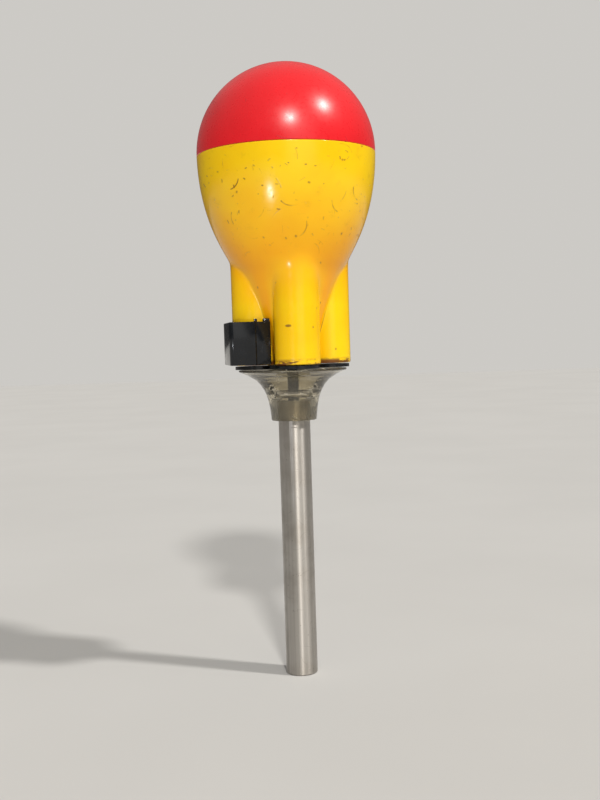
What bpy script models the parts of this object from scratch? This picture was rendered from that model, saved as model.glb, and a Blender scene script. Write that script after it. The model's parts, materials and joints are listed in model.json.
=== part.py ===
"""Palm-ball screwdriver with four bit chambers, modelled upright on its tip.

Z runs up the shaft. The origin is the middle of the tip's end face. The lobes' angles are
measured from -Y, the front, and grow towards +X, the right.
"""

import math

import bmesh
import bpy
from mathutils import Matrix, Vector

MM = 0.001

# Heights above the tip, in millimetres.
TUBE_TOP = 87.6
FUNNEL_BOTTOM = 81.0
FLANGE_TOP = 97.1
GATE_BOTTOM = 97.4
GATE_TOP = 98.4
LOBE_BOTTOM = 98.7
BULB_FLOOR = 130.0
COVER_TOP = 131.9
RIM_TOP = 163.85
DOME_BOTTOM = 164.15
BULB_EQUATOR = 164.4
HUB_TOP = 136.0

# Radii and lengths, in millimetres.
BULB_R = 27.9
BULB_DEPTH = 44.0
CONE_R = 11.6
CONE_HEIGHT = 113.4
CONE_SLOPE = 0.30
CONE_TOP = 140.0
BLEND = 1.0
WALL = 2.4
MOUTH_R = 25.5
LOBE_RING_R = 11.6
LOBE_R = 7.0
CHAMBER_R = 5.6
TUBE_R = 5.0
TUBE_BORE_R = 4.0
HEX_FLATS = 6.5
HEX_DEPTH = 14.0
HUB_R = 3.7
HUB_BORE_R = 2.9
HUB_STOP = 109.0
ROD_R = 1.8
ROD_BOTTOM = 19.0
ROD_TOP = 187.0
HEAD_BOTTOM = 12.6
HEAD_TOP = 22.6
PIN_HEIGHT = 179.0
SCREW_RING_R = 11.5
BIT_LENGTH = 25.0
BIT_FLATS = 6.35
GAP = 0.3

# Turns, in degrees.
FRONT_LOBE = 8.7
LOBE_STEP = 90.0
SLIDER_LOBE = 3

ROUND = 36
SMALL_ROUND = 18
LOBE_SIDES = 24


# ---------------------------------------------------------------- scene and materials

def clear_scene():
    for old in list(bpy.data.objects):
        bpy.data.objects.remove(old, do_unlink=True)


def new_collection(name):
    collection = bpy.data.collections.new(name)
    bpy.context.scene.collection.children.link(collection)
    return collection


def new_material(name, colour, roughness, metallic=0.0, transmission=0.0):
    material = bpy.data.materials.new(name)
    material.use_nodes = True
    shader = material.node_tree.nodes["Principled BSDF"]
    shader.inputs["Base Color"].default_value = (*colour, 1.0)
    shader.inputs["Roughness"].default_value = roughness
    shader.inputs["Metallic"].default_value = metallic
    shader.inputs["Transmission Weight"].default_value = transmission
    return material


clear_scene()
PARTS = new_collection("palm_ball_screwdriver")
CUTTERS = new_collection("cutters")
YELLOW = new_material("yellow_plastic", (0.93, 0.55, 0.01), 0.25)
RED = new_material("red_plastic", (0.72, 0.01, 0.015), 0.2)
BLACK = new_material("black_plastic", (0.012, 0.012, 0.013), 0.3)
CLEAR = new_material("clear_plastic", (0.85, 0.83, 0.75), 0.1, transmission=0.9)
STEEL = new_material("bright_steel", (0.62, 0.6, 0.57), 0.25, metallic=1.0)
TUBE_STEEL = new_material("shaft_steel", (0.62, 0.6, 0.57), 0.3, metallic=1.0)
BIT_STEEL = new_material("bit_steel", (0.1, 0.1, 0.11), 0.4, metallic=1.0)
DARK_STEEL = new_material("dark_steel", (0.06, 0.065, 0.075), 0.4, metallic=1.0)
RUBBER = new_material("black_rubber", (0.02, 0.02, 0.02), 0.7)


# ---------------------------------------------------------------- building blocks

def add_object(name, mesh, material=None):
    """A part where a material is given, and otherwise a hidden cutter."""
    obj = bpy.data.objects.new(name, mesh)
    if material is None:
        CUTTERS.objects.link(obj)
        obj.hide_render = True
        obj.display_type = "WIRE"
    else:
        PARTS.objects.link(obj)
        mesh.materials.append(material)
    return obj


def finish_smooth(obj, angle=35.0):
    obj.data.shade_smooth()
    obj.data.set_sharp_from_angle(angle=math.radians(angle))


def add_turned(name, profile, material=None, steps=ROUND, closed=False):
    """Turns (radius, height) points in millimetres, given down the outer side, about Z."""
    mesh = bpy.data.meshes.new(name)
    points = [(radius * MM, 0.0, height * MM) for radius, height in profile]
    edges = [(i, i + 1) for i in range(len(points) - 1)]
    if closed:
        edges.append((len(points) - 1, 0))
    mesh.from_pydata(points, edges, [])
    obj = add_object(name, mesh, material)
    screw = obj.modifiers.new("turn", "SCREW")
    screw.axis = "Z"
    screw.steps = steps
    screw.render_steps = steps
    screw.use_merge_vertices = True
    screw.merge_threshold = 0.00001
    screw.use_smooth_shade = False
    return obj


def add_cylinder(name, radius, bottom, top, centre=(0.0, 0.0), material=None, sides=SMALL_ROUND):
    mesh = bpy.data.meshes.new(name)
    shape = bmesh.new()
    place = Matrix.Translation(Vector((centre[0], centre[1], (bottom + top) / 2)) * MM)
    bmesh.ops.create_cone(
        shape, cap_ends=True, segments=sides, radius1=radius * MM, radius2=radius * MM,
        depth=(top - bottom) * MM, matrix=place,
    )
    shape.to_mesh(mesh)
    shape.free()
    return add_object(name, mesh, material)


def add_box(name, low, high, material=None, turn=0.0):
    """A box between two corners, turned about Z by an angle in degrees."""
    mesh = bpy.data.meshes.new(name)
    shape = bmesh.new()
    low, high = Vector(low) * MM, Vector(high) * MM
    size = Matrix.Diagonal((*(high - low), 1.0))
    place = Matrix.Translation((low + high) / 2) @ size
    bmesh.ops.create_cube(shape, size=1.0, matrix=Matrix.Rotation(math.radians(turn), 4, "Z") @ place)
    shape.to_mesh(mesh)
    shape.free()
    return add_object(name, mesh, material)


def add_prism(name, outline, bottom, top, material=None):
    """An upright prism on a flat outline of (x, y) points in millimetres."""
    curve = bpy.data.curves.new(name, "CURVE")
    curve.dimensions = "2D"
    curve.fill_mode = "BOTH"
    curve.extrude = (top - bottom) / 2 * MM
    spline = curve.splines.new("POLY")
    spline.points.add(len(outline) - 1)
    for point, (x, y) in zip(spline.points, outline):
        point.co = (x * MM, y * MM, 0.0, 1.0)
    spline.use_cyclic_u = True
    guide = bpy.data.objects.new(name + "_outline", curve)
    CUTTERS.objects.link(guide)
    guide.location.z = (bottom + top) / 2 * MM
    bpy.context.view_layer.update()
    mesh = bpy.data.meshes.new_from_object(guide.evaluated_get(bpy.context.evaluated_depsgraph_get()))
    mesh.name = name
    shape = bmesh.new()
    shape.from_mesh(mesh)
    bmesh.ops.remove_doubles(shape, verts=shape.verts, dist=0.000002)
    bmesh.ops.recalc_face_normals(shape, faces=shape.faces)
    shape.to_mesh(mesh)
    shape.free()
    obj = add_object(name, mesh, material)
    obj.matrix_world = guide.matrix_world.copy()
    bpy.data.objects.remove(guide, do_unlink=True)
    return obj


def combine(obj, other, operation):
    boolean = obj.modifiers.new(other.name, "BOOLEAN")
    boolean.operation = operation
    boolean.object = other
    boolean.solver = "EXACT"


def cut(obj, *others):
    for other in others:
        combine(obj, other, "DIFFERENCE")


def join(obj, *others):
    for other in others:
        combine(obj, other, "UNION")


def lobe_angle(index):
    return math.radians(FRONT_LOBE + LOBE_STEP * index)


def ring_point(radius, angle):
    """The (x, y) point at an angle from the front, growing towards the right."""
    return radius * math.sin(angle), -radius * math.cos(angle)


def lobe_centre(index):
    return ring_point(LOBE_RING_R, lobe_angle(index))


def screw_centre(index):
    return ring_point(SCREW_RING_R, lobe_angle(index + 0.5))


def arc(centre, radius, start, end, count):
    """Points on an arc, its angles in degrees from +X."""
    turns = [math.radians(start + (end - start) * i / (count - 1)) for i in range(count)]
    return [(centre[0] + radius * math.cos(a), centre[1] + radius * math.sin(a)) for a in turns]


# ---------------------------------------------------------------- handle

def bulb_radius(height):
    """The outer radius: an egg-shaped bulb that runs softly into a slim cone."""
    drop = min(1.0, max(0.0, (BULB_EQUATOR - height) / BULB_DEPTH))
    egg = BULB_R * math.sqrt(1.0 - drop * drop)
    if height > CONE_TOP:
        return egg
    cone = CONE_R + CONE_SLOPE * (height - CONE_HEIGHT)
    softness = BLEND * min(1.0, (CONE_TOP - height) / 10.0)
    return (egg + cone) / 2 + math.hypot((egg - cone) / 2, softness)


def bulb_heights(top, bottom, count):
    return [top + (bottom - top) * i / (count - 1) for i in range(count)]


def make_handle():
    core_bottom = LOBE_BOTTOM + 0.8
    outer = [(0.0, RIM_TOP), (BULB_R - 0.5, RIM_TOP), (BULB_R - 0.05, RIM_TOP - 0.4)]
    outer += [(bulb_radius(z), z) for z in bulb_heights(BULB_EQUATOR - 1.4, 119.0, 15)]
    outer += [(bulb_radius(core_bottom), core_bottom), (0.0, core_bottom)]
    body = add_turned("handle_body", outer, YELLOW)
    for i in range(4):
        lobe = add_cylinder(f"lobe_{i}", LOBE_R, LOBE_BOTTOM, 134.0, lobe_centre(i), sides=LOBE_SIDES)
        join(body, lobe)

    inner = [(0.0, RIM_TOP + 1.0), (MOUTH_R, RIM_TOP + 1.0), (MOUTH_R, RIM_TOP - 6.5)]
    inner += [(bulb_radius(z) - WALL * 1.2, z) for z in bulb_heights(RIM_TOP - 8.5, BULB_FLOOR, 6)]
    inner += [(0.0, BULB_FLOOR)]
    cut(body, add_turned("bulb_cavity", inner))
    for i in range(4):
        chamber_top = BULB_FLOOR + 0.4
        chamber = add_cylinder(f"chamber_{i}", CHAMBER_R, 97.0, chamber_top, lobe_centre(i), sides=LOBE_SIDES)
        screw_hole = add_cylinder(f"screw_hole_{i}", 1.2, 122.0, 131.0, screw_centre(i), sides=12)
        cut(body, chamber, screw_hole)
    cut(body, add_cylinder("hub_bore", HUB_R + GAP, 97.0, 131.0))
    cut(body, add_box("key_slot", (-1.6, 24.5, RIM_TOP - 1.45), (1.6, 26.5, RIM_TOP + 2.0)))


def make_chamber_cover():
    profile = [(14.9, COVER_TOP), (14.9, BULB_FLOOR + GAP), (4.3, BULB_FLOOR + GAP), (4.3, COVER_TOP)]
    cover = add_turned("chamber_cover", profile, BLACK, closed=True)
    for i in range(4):
        cut(cover, add_cylinder(f"cover_hole_{i}", 1.3, 129.0, 133.0, screw_centre(i), sides=12))


def make_cover_screws():
    """Pan heads with a plain shank, each with a crossed drive recess."""
    shank_bottom, head_bottom, head_top = 123.5, COVER_TOP + 0.2, COVER_TOP + 1.5
    profile = [(0.0, head_top), (1.2, head_top), (1.9, head_top - 0.5), (1.9, head_bottom)]
    profile += [(0.85, head_bottom), (0.85, shank_bottom + 1.0), (0.0, shank_bottom)]
    for i in range(4):
        screw = add_turned(f"cover_screw_{i + 1}", profile, STEEL, steps=12)
        x, y = screw_centre(i)
        screw.location = (x * MM, y * MM, 0.0)
        for turn in (0.0, 90.0):
            low, high = (-0.9, -0.18, head_top - 0.6), (0.9, 0.18, head_top + 1.0)
            slot = add_box(f"drive_{i}_{turn:.0f}", low, high, turn=turn)
            slot.location = screw.location
            cut(screw, slot)


# ---------------------------------------------------------------- dome and push rod

def make_dome():
    """The hollow palm dome, its skirt in the bulb's mouth, and the boss that holds the rod."""
    start = math.degrees(math.asin((DOME_BOTTOM - BULB_EQUATOR) / BULB_R))
    outer = [(BULB_R * math.cos(a), BULB_EQUATOR + BULB_R * math.sin(a))
             for a in (math.radians(90.0 + (start - 90.0) * i / 12) for i in range(1, 13))]
    profile = [(0.0, BULB_EQUATOR + BULB_R)] + outer
    skirt_r, ring_r, inner_r = MOUTH_R - 0.4, 23.7, 22.5
    groove_top, groove_bottom, skirt_bottom = RIM_TOP - 1.45, RIM_TOP - 3.25, RIM_TOP - 5.55
    profile += [(skirt_r, DOME_BOTTOM), (skirt_r, groove_top), (ring_r, groove_top)]
    profile += [(ring_r, groove_bottom), (skirt_r, groove_bottom)]
    profile += [(skirt_r, skirt_bottom + 0.6), (skirt_r - 0.6, skirt_bottom), (inner_r, skirt_bottom)]
    shell_r, boss_r, boss_bottom = BULB_R - WALL, 4.2, 174.0
    profile += [(inner_r, RIM_TOP + 1.55)]
    low = math.degrees(math.asin(3.0 / shell_r))
    high = math.degrees(math.acos(boss_r / shell_r))
    profile += [(shell_r * math.cos(a), BULB_EQUATOR + shell_r * math.sin(a))
                for a in (math.radians(low + (high - low) * i / 6) for i in range(7))]
    bore_r = ROD_R + GAP
    profile += [(boss_r, boss_bottom), (bore_r, boss_bottom), (bore_r, ROD_TOP + GAP), (0.0, ROD_TOP + GAP)]
    dome = add_turned("dome_cap", profile, RED)
    join(dome, add_box("dome_key", (-1.2, 24.3, RIM_TOP - 1.05), (1.2, 26.1, RIM_TOP + 0.65)))
    pin_hole = add_cylinder("dome_pin_hole", 0.95, -6.0, 6.0, sides=12)
    pin_hole.matrix_world = Matrix.Translation((0, 0, PIN_HEIGHT * MM)) @ Matrix.Rotation(math.pi / 2, 4, "Y")
    cut(dome, pin_hole)
    return pin_hole


def make_friction_ring():
    radius, wire, middle = 24.6, 0.6, RIM_TOP - 2.35
    section = [(radius + wire * math.cos(a), middle + wire * math.sin(a))
               for a in (math.radians(90.0 - 45.0 * i) for i in range(8))]
    add_turned("dome_friction_ring", section, RUBBER, closed=True)


def make_rod(pin_hole):
    profile = [(0.0, ROD_TOP), (ROD_R - 0.3, ROD_TOP), (ROD_R, ROD_TOP - 0.3)]
    profile += [(ROD_R, ROD_BOTTOM), (0.0, ROD_BOTTOM)]
    rod = add_turned("push_rod", profile, DARK_STEEL, steps=SMALL_ROUND)
    cut(rod, pin_hole)

    socket_r, head_r, web_top, web_bottom = ROD_R + GAP, 2.6, 18.7, 16.1
    profile = [(0.0, web_top), (socket_r, web_top), (socket_r, HEAD_TOP), (head_r - 0.1, HEAD_TOP)]
    profile += [(head_r, HEAD_TOP - 0.4), (head_r, HEAD_BOTTOM), (socket_r, HEAD_BOTTOM)]
    profile += [(socket_r, web_bottom), (0.0, web_bottom)]
    add_turned("rod_head", profile, STEEL, steps=SMALL_ROUND)
    add_cylinder("bit_magnet", ROD_R, HEAD_BOTTOM + 0.1, web_bottom - GAP, material=DARK_STEEL)

    pin = add_cylinder("rod_pin", 0.7, -3.9, 3.9, material=STEEL, sides=12)
    pin.matrix_world = Matrix.Translation((0, 0, PIN_HEIGHT * MM)) @ Matrix.Rotation(math.pi / 2, 4, "Y")


# ---------------------------------------------------------------- selector, funnel and shaft

def lobed_outline(lobe_r, count=96):
    """The outline of four round lobes with a web between them, as its radius round the axis."""
    points = []
    for i in range(count):
        angle = lobe_angle(0) + 2 * math.pi * i / count
        nearest = (angle - lobe_angle(0) + math.pi / 4) % (math.pi / 2) - math.pi / 4
        across = LOBE_RING_R * math.sin(nearest)
        radius = LOBE_RING_R * math.cos(nearest) + math.sqrt(max(0.0, lobe_r ** 2 - across ** 2))
        points.append(ring_point(radius, angle))
    return points


def make_gate():
    """The selector plate under the chambers, with one open hole, and the hub it turns on."""
    gate = add_prism("selector_gate", lobed_outline(LOBE_R - 0.5), GATE_BOTTOM, GATE_TOP, BLACK)
    cut(gate, add_cylinder("gate_middle", 3.3, 96.0, 100.0))
    cut(gate, add_cylinder("gate_hole", CHAMBER_R, 96.0, 100.0, lobe_centre(SLIDER_LOBE), sides=LOBE_SIDES))
    groove_r, narrow_r = HUB_R - 0.5, ROD_R + GAP
    profile = [(HUB_R, HUB_TOP), (HUB_R, 134.8), (groove_r, 134.8), (groove_r, 133.4), (HUB_R, 133.4)]
    profile += [(HUB_R, GATE_BOTTOM + 0.2), (HUB_BORE_R, GATE_BOTTOM + 0.2), (HUB_BORE_R, HUB_STOP)]
    profile += [(narrow_r, HUB_STOP + 0.6), (narrow_r, HUB_TOP)]
    join(gate, add_turned("gate_hub", profile, steps=SMALL_ROUND, closed=True))


def make_hub_rings():
    washer = [(6.6, 133.0), (6.6, COVER_TOP + GAP), (4.1, COVER_TOP + GAP), (4.1, 133.0)]
    add_turned("hub_washer", washer, STEEL, steps=SMALL_ROUND, closed=True)
    clip = arc((0.0, 0.0), 5.4, 115.0, 425.0, 25) + arc((0.0, 0.0), 3.5, 425.0, 115.0, 25)
    add_prism("hub_circlip", clip, 133.7, 134.5, DARK_STEEL)


def make_funnel():
    """The clear funnel under the gate: a round flange, a flared bowl and the neck round the tube."""
    outer = [(17.0, FLANGE_TOP), (17.0, 96.6), (16.4, 96.4), (14.3, 95.45), (12.7, 94.5), (11.4, 93.6)]
    outer += [(10.1, 92.1), (9.1, 90.4), (8.5, 89.0), (8.05, 87.5), (7.6, 85.3), (7.3, 82.8)]
    outer += [(7.1, 81.4), (6.7, FUNNEL_BOTTOM)]
    seat_r = TUBE_R + GAP
    inner = [(seat_r, FUNNEL_BOTTOM), (seat_r, TUBE_TOP + GAP), (4.3, TUBE_TOP + GAP), (4.3, 88.7)]
    inner += [(5.6, 89.8), (7.2, 91.2), (8.7, 92.9), (10.4, 94.3), (12.6, 95.5), (14.6, 96.3)]
    inner += [(16.2, FLANGE_TOP)]
    add_turned("feed_funnel", outer + inner, CLEAR, closed=True)


def make_shaft():
    profile = [(0.0, TUBE_TOP), (TUBE_R - 0.3, TUBE_TOP), (TUBE_R, TUBE_TOP - 0.3)]
    profile += [(TUBE_R, 0.35), (TUBE_R - 0.35, 0.0), (0.0, 0.0)]
    tube = add_turned("shaft_tube", profile, TUBE_STEEL)
    cut(tube, add_cylinder("tube_bore", TUBE_BORE_R, HEX_DEPTH, TUBE_TOP + 1.0, sides=ROUND))
    hexagon = HEX_FLATS / 2 / math.cos(math.pi / 6)
    cut(tube, add_cylinder("hex_bore", hexagon, -1.0, HEX_DEPTH + 0.5, sides=6))
    cut(tube, add_cylinder("ring_groove", 4.3, 5.2, 6.6, sides=ROUND))
    cut(tube, add_box("stake_mark", (-1.9, -5.5, 78.7), (0.8, -4.75, 79.1)))

    wire, count = 0.35, 22
    curve = bpy.data.curves.new("bit_retainer", "CURVE")
    curve.dimensions = "3D"
    curve.bevel_depth = wire * MM
    curve.bevel_resolution = 2
    curve.use_fill_caps = True
    spline = curve.splines.new("POLY")
    spline.points.add(count - 1)
    for point, (x, y) in zip(spline.points, arc((0.0, 0.0), 3.6, 60.0, 360.0, count)):
        point.co = (x * MM, y * MM, 5.9 * MM, 1.0)
    retainer = bpy.data.objects.new("bit_retainer", curve)
    curve.materials.append(DARK_STEEL)
    PARTS.objects.link(retainer)


# ---------------------------------------------------------------- lock slider

def make_lock_slider():
    """A boxed clip that hugs one lobe and slides down over the gate's lobe to lock it.

    Its outline is written along the lobe's own axes: outward from the shaft, then to the front.
    """
    inner_face, step, outer_face, corner = 7.9, 12.5, 20.6, 1.5
    flange_half, box_half = 9.7, 10.5
    bottom, top = LOBE_BOTTOM + 0.2, 112.2
    side = [(inner_face, flange_half), (step, flange_half), (step, box_half)]
    side += arc((outer_face - corner, box_half - corner), corner, 90.0, 0.0, 5)
    outline = side + [(x, -y) for x, y in reversed(side)]
    heading = math.degrees(lobe_angle(SLIDER_LOBE)) - 90.0
    turn = Matrix.Rotation(math.radians(heading), 2)
    points = [tuple(turn @ Vector(point)) for point in outline]
    slider = add_prism("lock_slider", points, bottom, top, BLACK)
    bevel = slider.modifiers.new("edges", "BEVEL")
    bevel.width = 0.3 * MM
    bevel.segments = 2
    bevel.limit_method = "ANGLE"
    bevel.angle_limit = math.radians(60.0)
    for near, far in ((8.1, 10.2), (11.9, 12.9)):
        for side_low, side_high in ((8.3, 9.4), (-9.4, -8.3)):
            low, high = (near, side_low, top - 0.8), (far, side_high, top + 0.9)
            join(slider, add_box(f"slider_stop_{near:.0f}_{side_high:.0f}", low, high, turn=heading))
    hug = add_cylinder("slider_bore", LOBE_R + 0.35, 96.0, 116.0, lobe_centre(SLIDER_LOBE), sides=ROUND)
    cone = [(0.0, 116.0)] + [(bulb_radius(z) + 0.35, z) for z in (116.0, 96.0)] + [(0.0, 96.0)]
    cut(slider, hug, add_turned("slider_cone", cone))


# ---------------------------------------------------------------- bits

def make_bit(name, index, tip_r, shank_r, cutters):
    """A quarter-inch bit standing tip down in its chamber, its hexagon at the top."""
    bottom = LOBE_BOTTOM + 0.1
    top = bottom + BIT_LENGTH
    x, y = lobe_centre(index)
    corner = BIT_FLATS / 2 / math.cos(math.pi / 6)
    profile = [(0.0, top), (corner - 0.7, top), (corner, top - 0.7), (corner, top - 8.0)]
    profile += [(corner - 0.45, top - 8.6), (corner - 0.45, top - 9.6), (corner, top - 10.2)]
    profile += [(corner, top - 12.4), (shank_r, top - 13.4), (0.0, top - 13.4)]
    bit = add_turned(name, profile, BIT_STEEL, steps=6)
    shank = [(0.0, top - 12.9), (shank_r - 0.1, top - 12.9), (shank_r - 0.1, bottom + 7.0)]
    shank += [(tip_r, bottom + 1.2), (tip_r * 0.7, bottom), (0.0, bottom)]
    join(bit, add_turned(name + "_shank", shank, steps=12))
    for number, (low, high, turn) in enumerate(cutters):
        low = (low[0], low[1], bottom - 1.0)
        high = (high[0], high[1], bottom + high[2])
        tool = add_box(f"{name}_cut_{number}", low, high, turn=turn)
        cut(bit, tool)
        tool.location = (x * MM, y * MM, 0.0)
    for piece in (bit, bpy.data.objects[name + "_shank"]):
        piece.location = (x * MM, y * MM, 0.0)


def make_bits():
    flats = [((-5.0, 0.45), (5.0, 5.0, 4.6), 0.0), ((-5.0, -5.0), (5.0, -0.45, 4.6), 0.0)]
    thin_flats = [((-5.0, 0.3), (5.0, 5.0, 4.0), 0.0), ((-5.0, -5.0), (5.0, -0.3, 4.0), 0.0)]
    wings = [((0.42, 0.42), (4.0, 4.0, 3.6), 45.0 + 90.0 * i) for i in range(4)]
    make_bit("bit_slot_wide", 0, 2.6, 2.8, flats)
    make_bit("bit_cross", 1, 1.7, 2.8, wings)
    make_bit("bit_slot_narrow", 2, 1.7, 2.0, thin_flats)


make_handle()
make_chamber_cover()
make_cover_screws()
make_friction_ring()
make_rod(make_dome())
make_gate()
make_hub_rings()
make_funnel()
make_shaft()
make_lock_slider()
make_bits()
for part in PARTS.objects:
    if part.type == "MESH":
        finish_smooth(part)
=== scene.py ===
"""Looks of the palm-ball screwdriver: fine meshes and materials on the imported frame.

Shapes are written in millimetres and made in metres. Z runs up the shaft from its tip, and the
lobes' angles are measured from -Y, the front, and grow towards +X, the right.
"""

import json
import math

import bmesh
import bpy
from mathutils import Matrix, Vector


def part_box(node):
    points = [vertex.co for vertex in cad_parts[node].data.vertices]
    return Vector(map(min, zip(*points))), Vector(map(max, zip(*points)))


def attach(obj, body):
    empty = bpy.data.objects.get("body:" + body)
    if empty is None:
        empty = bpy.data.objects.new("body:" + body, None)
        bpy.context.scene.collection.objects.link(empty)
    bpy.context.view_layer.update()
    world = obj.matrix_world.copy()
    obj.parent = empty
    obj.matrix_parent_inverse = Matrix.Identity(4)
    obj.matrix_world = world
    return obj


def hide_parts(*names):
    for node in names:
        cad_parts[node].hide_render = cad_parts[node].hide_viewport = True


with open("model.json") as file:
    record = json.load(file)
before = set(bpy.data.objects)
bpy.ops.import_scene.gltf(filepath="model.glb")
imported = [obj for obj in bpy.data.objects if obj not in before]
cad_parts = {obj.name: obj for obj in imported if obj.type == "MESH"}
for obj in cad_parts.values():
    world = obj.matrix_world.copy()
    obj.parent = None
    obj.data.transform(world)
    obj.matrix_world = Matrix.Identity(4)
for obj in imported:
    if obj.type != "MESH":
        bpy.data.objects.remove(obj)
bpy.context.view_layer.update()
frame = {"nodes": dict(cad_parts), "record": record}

MM = 0.001


def box_mm(node):
    low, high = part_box(node)
    return low / MM, high / MM


# Places read from the frame, in millimetres.
HANDLE_LOW, HANDLE_HIGH = box_mm("handle_body")
DOME_LOW, DOME_HIGH = box_mm("dome_cap")
COVER_LOW, COVER_HIGH = box_mm("chamber_cover")
GATE_LOW, GATE_HIGH = box_mm("selector_gate")
FUNNEL_LOW, FUNNEL_HIGH = box_mm("feed_funnel")
TUBE_LOW, TUBE_HIGH = box_mm("shaft_tube")
ROD_LOW, ROD_HIGH = box_mm("push_rod")
SLIDER_LOW, SLIDER_HIGH = box_mm("lock_slider")

# Places and sizes that follow from them. The ball of the dome has its middle just over the rim.
GAP = 0.3
GATE_THICKNESS = 1.0
LOBE_BOTTOM, RIM_TOP = HANDLE_LOW.z, HANDLE_HIGH.z
BULB_EQUATOR = RIM_TOP + 0.55
BULB_R = DOME_HIGH.z - BULB_EQUATOR
BULB_FLOOR = COVER_LOW.z - GAP
TUBE_R = TUBE_HIGH.x
ROD_R = ROD_HIGH.x
GATE_BOTTOM, GATE_TOP = GATE_LOW.z, GATE_LOW.z + GATE_THICKNESS

# The handle's bulb: an egg that hangs BULB_DEPTH below the ball's middle, with a round mouth.
BULB_DEPTH = 44.0
MOUTH_R = 25.5
WALL = 2.4

# The cone under it: its radius is CONE_R at CONE_HEIGHT, and it blends into the egg below CONE_TOP.
CONE_R = 11.6
CONE_HEIGHT = 113.4
CONE_SLOPE = 0.30
CONE_TOP = 140.0
CONE_FADE = 10.0
CONE_BLEND = 1.0

# The four lobes: the front one's turn in degrees, how softly each leaves the cone and its top the
# bulb, and the height under which they show.
FRONT_LOBE = 8.7
SLIDER_LOBE = 3
LOBE_RING_R = 11.6
LOBE_R = 7.0
LOBE_BLEND = 0.15
LOBE_TOP_BLENDS = (0.9, 0.25, 0.9, 0.25)
LOBE_TOP_START, LOBE_TOP_FADE = 117.0, 9.0
LOBE_END, LOBE_END_FADE = 150.0, 8.0
CHAMBER_R = 5.6

# The cover's screws stand between the lobes, and the selector's hub runs up the middle.
SCREW_RING_R = 11.5
SCREW_HEAD_R = 1.9
SCREW_R = 0.85
HUB_R = 3.7
PIN_HOLE_R = 0.95

# Sides of round pieces, and the angles in degrees above which an edge is shaded sharp or beveled.
FINE = 192
MEDIUM = 96
SMALL = 48
SHARP_ANGLE = 32.0
SHAFT_SHARP_ANGLE = 28.0
BEVEL_ANGLE = 50.0
BEVEL_SEGMENTS = 3


# ---------------------------------------------------------------- shape helpers

def lobe_angle(index):
    return math.radians(FRONT_LOBE + 90.0 * index)


def ring_point(radius, angle):
    """The (x, y) point at an angle from the front, growing towards the right."""
    return radius * math.sin(angle), -radius * math.cos(angle)


def smooth_max(a, b, softness):
    return (a + b) / 2 + math.hypot((a - b) / 2, softness)


def arc(centre, radius, start, end, count):
    """Points on an arc, its angles in degrees from the first axis."""
    turns = [math.radians(start + (end - start) * i / (count - 1)) for i in range(count)]
    return [(centre[0] + radius * math.cos(a), centre[1] + radius * math.sin(a)) for a in turns]


def rounded(corners, closed=False, count=4):
    """A polyline of (a, b, radius) corners, each rounded with an arc of its own radius."""
    points = []
    total = len(corners)
    for i, (a, b, radius) in enumerate(corners):
        here = Vector((a, b))
        if radius <= 0.0 or (not closed and i in (0, total - 1)):
            points.append((a, b))
            continue
        before = Vector(corners[i - 1][:2]) - here
        after = Vector(corners[(i + 1) % total][:2]) - here
        half = before.angle(after) / 2
        reach = min(radius / math.tan(half), before.length * 0.49, after.length * 0.49)
        start, end = here + before.normalized() * reach, here + after.normalized() * reach
        for step in range(count + 1):
            t = step / count
            point = start * (1 - t) ** 2 + here * 2 * t * (1 - t) + end * t ** 2
            points.append((point.x, point.y))
    return points


def smooth_shading(mesh, sharp_angle):
    mesh.shade_smooth()
    mesh.set_sharp_from_angle(angle=math.radians(sharp_angle))


def new_piece(name, mesh, material=None):
    obj = bpy.data.objects.new(name, mesh)
    bpy.context.scene.collection.objects.link(obj)
    smooth_shading(mesh, SHARP_ANGLE)
    if material is not None:
        mesh.materials.append(material)
    return obj


def loft(name, rings, material=None, loop=False):
    """Faces between rings of points; a ring of one point is a pole, and open ends are capped."""
    shape = bmesh.new()
    loops = [[shape.verts.new(Vector(point) * MM) for point in ring] for ring in rings]
    pairs = list(zip(loops, loops[1:])) + ([(loops[-1], loops[0])] if loop else [])
    for first, second in pairs:
        sides = max(len(first), len(second))
        for i in range(sides):
            j = (i + 1) % sides
            corners = [first[i % len(first)], second[i % len(second)]]
            corners += [second[j % len(second)], first[j % len(first)]]
            shape.faces.new(list(dict.fromkeys(corners)))
    if not loop:
        for end in (loops[0], loops[-1]):
            if len(end) > 2:
                shape.faces.new(end)
    bmesh.ops.recalc_face_normals(shape, faces=shape.faces)
    mesh = bpy.data.meshes.new(name)
    shape.to_mesh(mesh)
    shape.free()
    return new_piece(name, mesh, material)


def turned(name, profile, material=None, sides=MEDIUM, closed=False, centre=(0.0, 0.0)):
    """A profile of (radius, height) points turned about an upright axis."""
    x, y = centre
    turns = [2 * math.pi * i / sides for i in range(sides)]
    rings = []
    for radius, height in profile:
        if radius < 1e-6:
            rings.append([(x, y, height)])
        else:
            rings.append([(x + radius * math.cos(a), y + radius * math.sin(a), height) for a in turns])
    return loft(name, rings, material, loop=closed)


def cylinder(name, radius, bottom, top, centre=(0.0, 0.0), sides=SMALL):
    profile = [(0.0, top), (radius, top), (radius, bottom), (0.0, bottom)]
    return turned(name, profile, sides=sides, centre=centre)


def add_bevel(obj, width):
    bevel = obj.modifiers.new("edges", "BEVEL")
    bevel.width = width * MM
    bevel.segments = BEVEL_SEGMENTS
    return bevel


def prism(name, outline, bottom, top, material=None, edge=0.0):
    """An upright prism on a closed outline, its edges beveled where edge gives a width."""
    obj = loft(name, [[(x, y, height) for x, y in outline] for height in (top, bottom)], material)
    if edge > 0.0:
        bevel = add_bevel(obj, edge)
        bevel.limit_method = "ANGLE"
        bevel.angle_limit = math.radians(BEVEL_ANGLE)
        bevel.harden_normals = True
    return obj


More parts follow.
